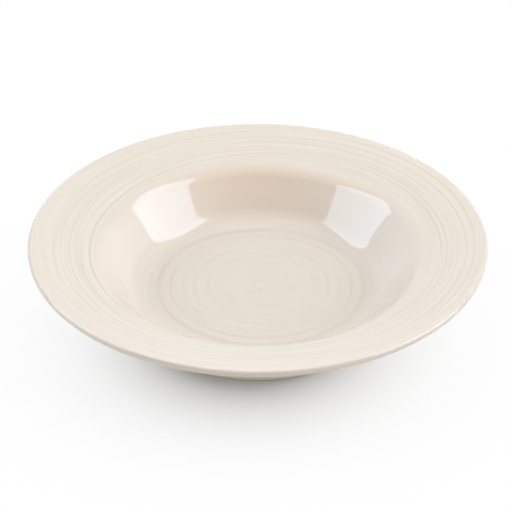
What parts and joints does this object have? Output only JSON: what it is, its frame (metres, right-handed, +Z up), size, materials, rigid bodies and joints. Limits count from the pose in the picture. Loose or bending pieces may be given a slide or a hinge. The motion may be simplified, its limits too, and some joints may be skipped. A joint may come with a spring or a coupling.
{
  "type": "rim soup plate",
  "caption": "Round deep plate with a wide sloping rim, a rounded well and a turned foot ring, in glossy cream glaze brushed on in fine rings, for serving soup or pasta.",
  "frame": {"origin": "middle of the foot ring, on the surface that the plate stands on", "axes": "+Z up, along the axis that the round plate is turned about; X and Y are alike"},
  "size_m": [0.24, 0.24, 0.045],
  "materials": {
    "bare_stoneware": "fired bare and rubbed smooth",
    "cream_face_glaze": "glossy, brushed on in rings",
    "cream_underside_glaze": "glossy, dipped"
  },
  "bodies": {
    "root": {"clay_body": "bare_stoneware", "face_glaze": "cream_face_glaze", "underside_glaze": "cream_underside_glaze", "foot_recess_glaze": "cream_underside_glaze"}
  },
  "joints": []
}
